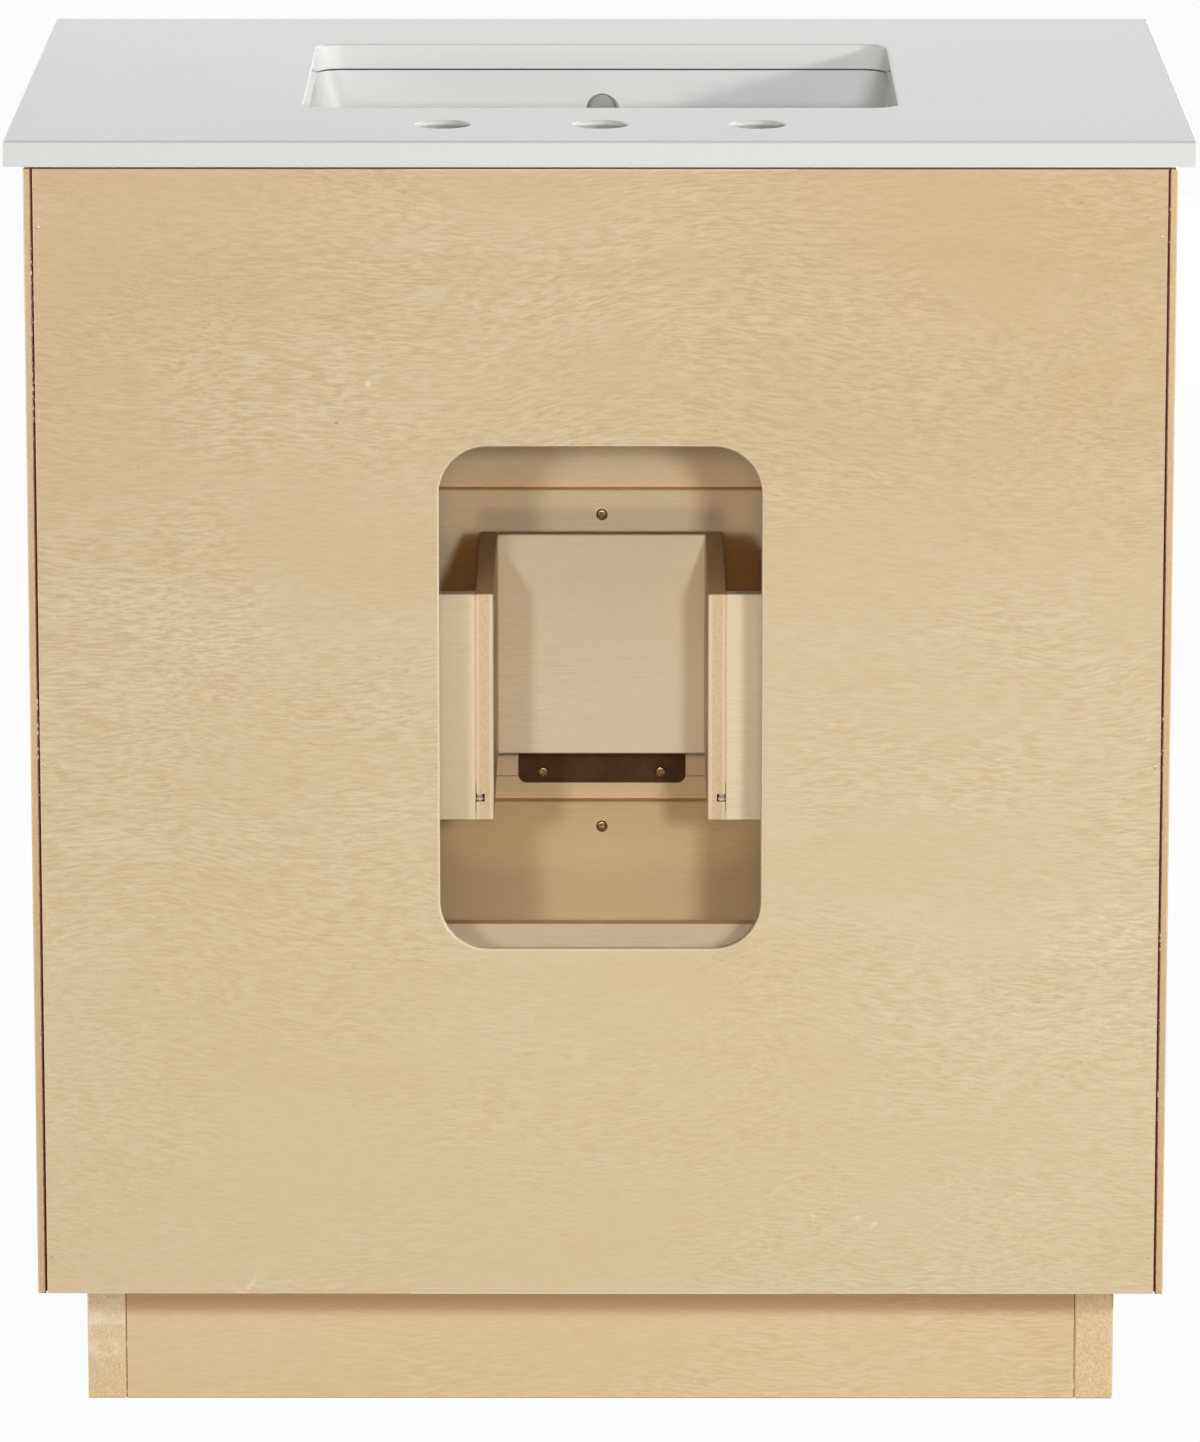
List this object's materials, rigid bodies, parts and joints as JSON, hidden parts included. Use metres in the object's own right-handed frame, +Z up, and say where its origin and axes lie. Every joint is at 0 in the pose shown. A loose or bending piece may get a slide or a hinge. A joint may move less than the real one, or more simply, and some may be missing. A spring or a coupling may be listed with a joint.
{
  "type": "vanity unit",
  "caption": "Wooden vanity cabinet with a stone top, undermount basin, tap holes, fixed false front, a drawer notched round the trap and a full drawer on undermount runners.",
  "frame": {"origin": "on the floor, under the middle of the countertop", "axes": "+X to the right seen from the front, +Y towards the wall, +Z up"},
  "size_m": [0.762, 0.559, 0.838],
  "materials": {
    "stone_top": "polished engineered stone",
    "sealant": "cured silicone",
    "glazed_basin": "gloss glaze",
    "zinc_steel": "zinc plated",
    "side_veneer": "clear lacquer",
    "back_ply": "raw ply",
    "carcass_ply": "sanded ply",
    "rubber_bumper": "soft clear",
    "front_veneer": "clear lacquer",
    "wood_screw": "yellow passivated",
    "plinth_wood": "clear lacquer",
    "drawer_ply": "clear lacquer",
    "bronze_pull": "dark bronze powder coat",
    "nylon": "moulded nylon"
  },
  "bodies": {
    "cabinet": {"countertop": "stone_top", "countertop_sealant": "sealant", "basin": "glazed_basin", "basin_seal": "sealant", "basin_clips": "zinc_steel", "basin_studs": "zinc_steel", "basin_nuts": "zinc_steel", "side_panel_left": "side_veneer", "side_panel_right": "side_veneer", "back_panel": "back_ply", "bottom_panel": "carcass_ply", "rear_rail": "carcass_ply", "front_rail": "carcass_ply", "middle_rail": "carcass_ply", "corner_blocks": "carcass_ply", "carcass_dowels": "carcass_ply", "drawer_bumpers": "rubber_bumper", "false_front_panel": "front_veneer", "false_front_frame": "front_veneer", "false_front_screws": "wood_screw", "runner_screws": "zinc_steel", "plinth_left": "plinth_wood", "plinth_right": "plinth_wood", "plinth_front": "plinth_wood", "plinth_rear": "plinth_wood", "plinth_blocks": "plinth_wood", "upper_rails": "zinc_steel", "lower_rails": "zinc_steel"},
    "upper_drawer": {"upper_drawer_side_left": "drawer_ply", "upper_drawer_side_right": "drawer_ply", "upper_drawer_box_front": "drawer_ply", "upper_drawer_panel": "front_veneer", "upper_drawer_frame": "front_veneer", "upper_drawer_face_screws": "wood_screw", "upper_drawer_pull": "bronze_pull", "upper_drawer_pull_screws": "wood_screw", "upper_drawer_bottom": "drawer_ply", "upper_drawer_back_left": "drawer_ply", "upper_drawer_back_right": "drawer_ply", "upper_drawer_notch_left": "drawer_ply", "upper_drawer_notch_right": "drawer_ply", "upper_drawer_notch_front": "drawer_ply", "upper_slides": "zinc_steel", "upper_couplers": "nylon"},
    "lower_drawer": {"lower_drawer_side_left": "drawer_ply", "lower_drawer_side_right": "drawer_ply", "lower_drawer_box_front": "drawer_ply", "lower_drawer_panel": "front_veneer", "lower_drawer_frame": "front_veneer", "lower_drawer_face_screws": "wood_screw", "lower_drawer_pull": "bronze_pull", "lower_drawer_pull_screws": "wood_screw", "lower_drawer_bottom": "drawer_ply", "lower_drawer_back": "drawer_ply", "lower_slides": "zinc_steel", "lower_couplers": "nylon"},
    "upper_carriage": {"upper_carriages": "zinc_steel", "upper_glides": "nylon"},
    "lower_carriage": {"lower_carriages": "zinc_steel", "lower_glides": "nylon"}
  },
  "joints": [
    {"name": "upper_drawer_slide", "type": "slide", "parent": "cabinet", "child": "upper_drawer", "axis": [0, -1, 0], "range_m": [0, 0.35]},
    {"name": "lower_drawer_slide", "type": "slide", "parent": "cabinet", "child": "lower_drawer", "axis": [0, -1, 0], "range_m": [0, 0.35]},
    {"name": "upper_carriage_slide", "type": "slide", "parent": "cabinet", "child": "upper_carriage", "axis": [0, -1, 0], "range_m": [0, 0.175]},
    {"name": "lower_carriage_slide", "type": "slide", "parent": "cabinet", "child": "lower_carriage", "axis": [0, -1, 0], "range_m": [0, 0.175]}
  ],
  "couplings": [
    {"joint": "upper_carriage_slide", "follows": "upper_drawer_slide", "ratio": 0.5},
    {"joint": "lower_carriage_slide", "follows": "lower_drawer_slide", "ratio": 0.5}
  ]
}
